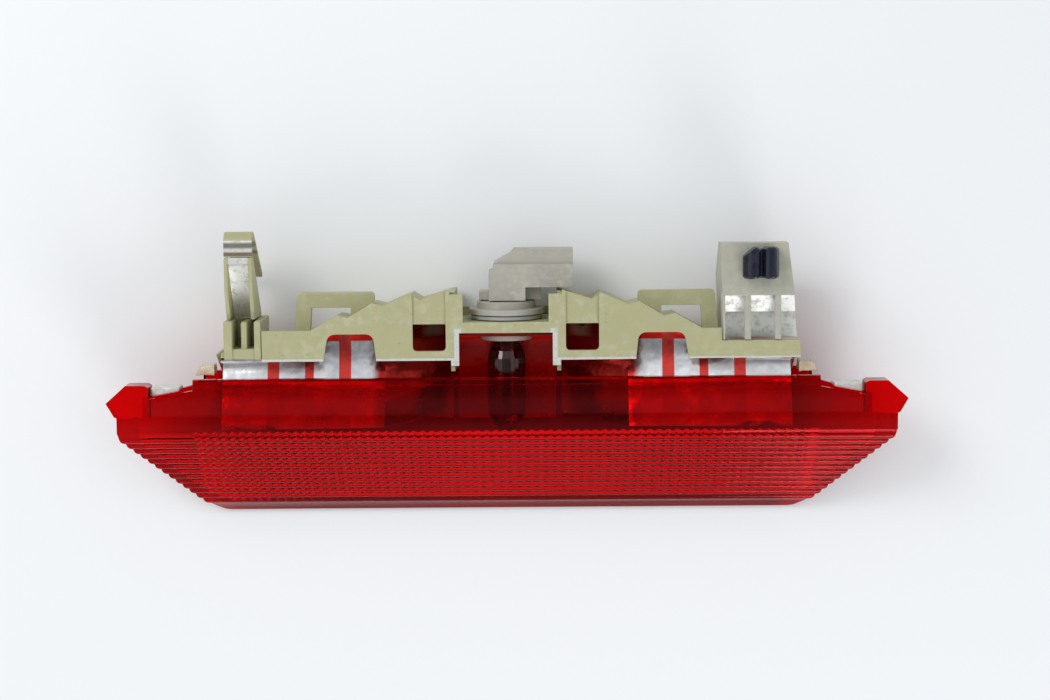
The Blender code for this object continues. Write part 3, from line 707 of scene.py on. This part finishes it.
# %% lens body
lens_body = extruded("lens_body", side_view(), "x", -155, 155)
front_tool = extruded("lens_front_tool", front_view(0, 0, 36), "y", -5, 60)
half_plan = [(117.2, LENS_REAR), (117.4, 51.2), (134.2, 48.0), (140.0, 48.0), (140.0, 42.0),
             (146.3, 42.0), (146.3, -8.0)]
plan = [(-u, v) for u, v in reversed(half_plan)] + half_plan
plan_tool = extruded("lens_plan_tool", plan, "z", -5, 40)
carve(lens_body, ("INTERSECT", front_tool), ("INTERSECT", plan_tool))
print("lens body", len(lens_body.data.polygons), "faces")

# %% [markdown]
# The prisms are upright ribs inside the raked face. Seen through the flutes, they break the light into a
# grid. They come from the hollow: one side of the hollow's tool is a zigzag, run up the slope.

# %% lens hollow
PRISM_PITCH = 3.4
PRISM_DEPTH = 0.55
PRISM_HALF = 118.0
SLAB_MARGIN = 20.0
SLAB_DEPTH = 60.0
SLOPE_FOOT = Vector((2.9, WALL))
SLOPE = Vector((31.95, 30.0)).normalized()
RUN_BEFORE_FOOT = 12
RUN = 70


def zigzag_tool():
    """A slab behind the raked face whose front side is a row of upright prisms."""
    shape = bmesh.new()
    count = int(2 * PRISM_HALF / PRISM_PITCH)
    side = PRISM_HALF + SLAB_MARGIN
    ridge = [(-side, 0.0)]
    for index in range(count):
        left = -PRISM_HALF + index * PRISM_PITCH
        ridge += [(left, 0.0), (left + PRISM_PITCH / 2, PRISM_DEPTH)]
    ridge += [(PRISM_HALF, 0.0), (side, 0.0), (side, SLAB_DEPTH), (-side, SLAB_DEPTH)]
    inward = Vector((SLOPE.y, -SLOPE.x))
    corners = []
    for x, away in ridge:
        spot = SLOPE_FOOT - SLOPE * RUN_BEFORE_FOOT + inward * away
        corners.append(shape.verts.new((x * MM, depth(spot.x), spot.y * MM)))
    face = shape.faces.new(corners)
    grown = bmesh.ops.extrude_face_region(shape, geom=[face])
    moved = [part for part in grown["geom"] if isinstance(part, bmesh.types.BMVert)]
    run = SLOPE * RUN * MM
    bmesh.ops.translate(shape, verts=moved, vec=(0, run.x, run.y))
    bmesh.ops.recalc_face_normals(shape, faces=shape.faces)
    tool = bpy.data.objects.new("lens_prisms", mesh_from(shape, "lens_prisms"))
    scene.collection.objects.link(tool)
    return tool


OPEN_END = LENS_REAR + 4
CEILING = LENS_TOP - WALL
room_side = [(0.0, WALL), (OPEN_END, WALL), (OPEN_END, CEILING), (0.0, CEILING)]
room = extruded("lens_room", room_side, "x", -150, 150)
room_front = extruded("lens_room_front", front_view(WALL, WALL, 32.5), "y", -2, 66)
carve(room, ("INTERSECT", room_front), ("INTERSECT", zigzag_tool()))
ear = [(134.0, 41.0), (144.8, 40.6), (147.0, 41.4), (150.0, 46.6), (142.5, 53.3), (135.4, 53.3),
       (134.0, 52.5)]
ears = [extruded("lens_ear_tool_" + side, outline, "z", 25, LENS_TOP + 0.2)
        for side, outline in (("left", [(-u, v) for u, v in reversed(ear)]), ("right", ear))]
carve(lens_body, ("DIFFERENCE", room), ("UNION", ears[0]), ("UNION", ears[1]))
lens_moulding = finish_piece(
    "lens_moulding", take_mesh(lens_body), red, body_of_node["lens"], ["lens"], 35.0)
round_edges(lens_moulding, 0.3, 2, 62.0)
print("lens", len(lens_moulding.data.polygons), "faces")

# %% [markdown]
# ## The housing
# The top plate is a flat moulding with notches and windows. Behind each small window a shallow channel
# runs back to the stepped edge. The channels are cut in the copy, and then every edge is rounded.

# %% housing plate
plate = bpy.data.objects.new("plate_body", mesh_from(merged_copy("housing_top"), "plate_body"))
scene.collection.objects.link(plate)
WINDOW_SPAN = (22.4, 34.8)
CHANNEL_START = 75.0
CHANNEL_END = 92.0
CHANNEL_FLOOR = 32.3
channels = []
for sign in (-1, 1):
    near, far = sorted(sign * edge for edge in WINDOW_SPAN)
    strip = [(near, CHANNEL_START), (far, CHANNEL_START), (far, CHANNEL_END), (near, CHANNEL_END)]
    channels.append(extruded(f"channel_{sign + 1}", strip, "z", CHANNEL_FLOOR, 36))
carve(plate, ("DIFFERENCE", channels[0]), ("DIFFERENCE", channels[1]))
plate_moulding = finish_piece(
    "housing_plate_moulding", take_mesh(plate), olive_plate, body_of_node["housing_top"],
    ["housing_top"])
round_edges(plate_moulding, 0.35)
print("plate", len(plate_moulding.data.polygons), "faces")

# %% housing walls, clip and block
for node, material, width in (
        ("housing_shell", olive, 0.25), ("end_cheek_left", olive, 0.25), ("end_cheek_right", olive, 0.25),
        ("locating_loop_left", olive, 0.5), ("locating_loop_right", olive, 0.5),
        ("clip_bracket", olive, 0.4), ("clip_arm", olive_arm, 0.35), ("mounting_block", olive_block, 0.35)):
    moulded(node, material, width)
moulded("clip_leaf", olive_leaf, 0.3)
print("housing pieces rounded")

# %% [markdown]
# ## Reflectors
# The reflectors are thin mirrored walls. Their steps turn the bulb's light forwards. The copy keeps the
# packed steps, but away from the middle its floor is shallower and curls up towards the lens, so that the
# mirror finds the bright surround. A small rounding on each step's edge gives the bright lines between
# the flats.

# %% reflectors
STEP_ANGLE = 28.0
SCOOP_CUTS = (68.0, 66.0, 64.0, 62.0, 60.0, 58.5, 57.0, 52.0, 46.0, 40.0)
MIRROR_TOP = 30.5
CURL_START = 68.0
CURL_END = 57.0
CURL = 0.016
SHALLOW = 0.6
FLAT_HALF = 41.0
BLEND = 4.0
WALL_FADE = 15.0


def scoop_height(across, away, height):
    """The new height of a point of the mirror, in millimetres; its top edge stays where it is."""
    outer = min(1.0, max(0.0, (abs(across) - FLAT_HALF) / BLEND))
    curl = CURL * max(0.0, CURL_START - max(away, CURL_END)) ** 2
    run_out = 2 * CURL * (CURL_START - CURL_END) * max(0.0, CURL_END - away)
    below = MIRROR_TOP - height
    rise = outer * (curl + run_out) * min(1.0, below / WALL_FADE)
    return MIRROR_TOP - below * (1 - SHALLOW * outer) + rise


def scooped(node):
    """A reflector cut across at a row of depths and curled by scoop_height."""
    shape = merged_copy(node)
    for away in SCOOP_CUTS:
        everything = shape.verts[:] + shape.edges[:] + shape.faces[:]
        bmesh.ops.bisect_plane(
            shape, geom=everything, plane_co=(0, depth(away), 0), plane_no=(0, 1, 0), dist=1e-6)
    for vertex in shape.verts:
        away = (vertex.co.y - FRONT) / MM
        vertex.co.z = scoop_height(vertex.co.x / MM, away, vertex.co.z / MM) * MM
    mesh = mesh_from(shape, node)
    piece = finish_piece(
        node + "_mirror", mesh, mirror_coat, body_of_node[node], [node], STEP_ANGLE)
    round_edges(piece, 0.25, 2, STEP_ANGLE)
    return piece


for node in ("reflector_left", "reflector_right", "reflector_centre"):
    print(scooped(node).name, "made")

# %% [markdown]
# ## Buffer, holder and connector
# The rubber buffer is softer than anything else here, so its lobes get a wide rounding in three steps,
# after their left rear corners are cut to facets. The holder and its connector are a harder plastic, with
# small crisp edges.

# %% buffer, holder and connector
buffer_body = bpy.data.objects.new("buffer_body", mesh_from(merged_copy("rubber_buffer"), "buffer_body"))
scene.collection.objects.link(buffer_body)
corners = [extruded("buffer_corner_left", [(86.0, 98.6), (92.7, 104.2), (86.0, 104.2)], "z", 30, 45),
           extruded("buffer_corner_right", [(93.4, 101.9), (97.2, 104.2), (93.4, 104.2)], "z", 30, 45)]
carve(buffer_body, ("DIFFERENCE", corners[0]), ("DIFFERENCE", corners[1]))
buffer_lobes = finish_piece("rubber_buffer_moulding", take_mesh(buffer_body), black_rubber,
                            body_of_node["rubber_buffer"], ["rubber_buffer"])
round_edges(buffer_lobes, 0.6, 3, 25.0)
moulded("bulb_holder", holder_grey, 0.3)
moulded("connector_shroud", holder_grey, 0.35)
moulded("holder_seal", seal_grey, 0.3)
for side in ("left", "right"):
    moulded("foam_pad_" + side, pad_grey, 0.6, 3)
print("holder and soft parts rounded")

# %% [markdown]
# ## Weld lugs
# Where the lens is welded to the housing, plastic has flowed and set in irregular beads. Each lug's copy
# is cut into small faces, its skin is pushed in by noise, and it is smoothed. It only moves inwards, so
# it stays in its place.


# %% weld lugs
DENT_SCALE = 420.0
DENT_DEPTH = 1.5


def weld_bead(node):
    """A lug with the melted skin of a hot-plate weld."""
    shape = merged_copy(node)
    bmesh.ops.triangulate(shape, faces=shape.faces)
    bmesh.ops.subdivide_edges(shape, edges=shape.edges, cuts=5, use_grid_fill=True)
    for vertex in shape.verts:
        dent = 0.5 + 0.5 * noise.noise(vertex.co * DENT_SCALE)
        vertex.co -= vertex.normal * dent * DENT_DEPTH * MM
    for turn in range(2):
        bmesh.ops.smooth_vert(
            shape, verts=shape.verts, factor=0.5, use_axis_x=True, use_axis_y=True, use_axis_z=True)
    mesh = mesh_from(shape, node)
    return finish_piece(node + "_bead", mesh, weld_cream, body_of_node[node], [node], 180)


for side in ("left", "right"):
    bead = weld_bead("weld_lug_" + side)
    print(bead.name, len(bead.data.polygons), "faces")

# %% [markdown]
# ## The bulb
# A wedge bulb is a thin glass envelope on a pinched base, with two support wires and a coiled filament
# between them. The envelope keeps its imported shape. The wire is a curve with a round bevel, coiled by a
# loop and made a mesh.

# %% filament
BULB_AXIS_Z = 18.0
COIL_DEPTH = 46.5
COIL_HALF = 2.4
COIL_TURNS = 9
TURN_STEPS = 12
COIL_RADIUS = 0.42
wire = bpy.data.curves.new("filament_wire", "CURVE")
wire.dimensions = "3D"
wire.bevel_depth = 0.09 * MM
wire.bevel_resolution = 2
wire.use_fill_caps = True
route = [(-2.0, 50.0, BULB_AXIS_Z), (-2.0, COIL_DEPTH + 0.6, BULB_AXIS_Z)]
for step in range(COIL_TURNS * TURN_STEPS + 1):
    turn = 2 * math.pi * step / TURN_STEPS
    across = -COIL_HALF * 0.8 + 1.6 * COIL_HALF * step / (COIL_TURNS * TURN_STEPS)
    away = COIL_DEPTH + COIL_RADIUS * math.cos(turn)
    route.append((across, away, BULB_AXIS_Z + COIL_RADIUS * math.sin(turn)))
route += [(2.0, COIL_DEPTH + 0.6, BULB_AXIS_Z), (2.0, 50.0, BULB_AXIS_Z)]
line = wire.splines.new("POLY")
line.points.add(len(route) - 1)
for point, (x, y, z) in zip(line.points, route):
    point.co = (x * MM, depth(y), z * MM, 1)
drawn = bpy.data.objects.new("filament_wire", wire)
scene.collection.objects.link(drawn)
bpy.context.view_layer.update()
coil = bpy.data.meshes.new_from_object(drawn.evaluated_get(bpy.context.evaluated_depsgraph_get()))
bpy.data.objects.remove(drawn, do_unlink=True)
finish_piece("filament_coil", coil, tin, body_of_node["filament"], ["filament"], 180)
print("filament", len(coil.polygons), "faces")

# %% [markdown]
# ## The remaining parts
# The terminals, the contact clips and the bulb's glass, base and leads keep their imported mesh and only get
# a finish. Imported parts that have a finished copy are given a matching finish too, so that no part is
# left bare.

# %% dress the parts that keep their own mesh
dress = {"terminal_1": tin, "terminal_2": tin, "contact_clip_1": tin, "contact_clip_2": tin,
         "bulb_glass": red_tinted_glass, "bulb_base": cap_brown, "bulb_lead_1": tin, "bulb_lead_2": tin}
for name, material in dress.items():
    mesh = nodes[name].data
    mesh.materials.clear()
    mesh.materials.append(material)
replaced_finish = {
    "lens": red, "rubber_buffer": black_rubber, "bulb_holder": holder_grey, "holder_seal": seal_grey,
    "connector_shroud": holder_grey, "filament": tin}
finish_by_word = {"reflector": mirror_coat, "weld": weld_cream, "pad": pad_grey}


def packed_finish(name):
    """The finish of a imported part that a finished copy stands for."""
    for word, material in finish_by_word.items():
        if word in name:
            return material
    return replaced_finish.get(name, olive)


for name, node in nodes.items():
    if name not in dress:
        node.data.materials.clear()
        node.data.materials.append(packed_finish(name))
print("dressed", len(nodes))
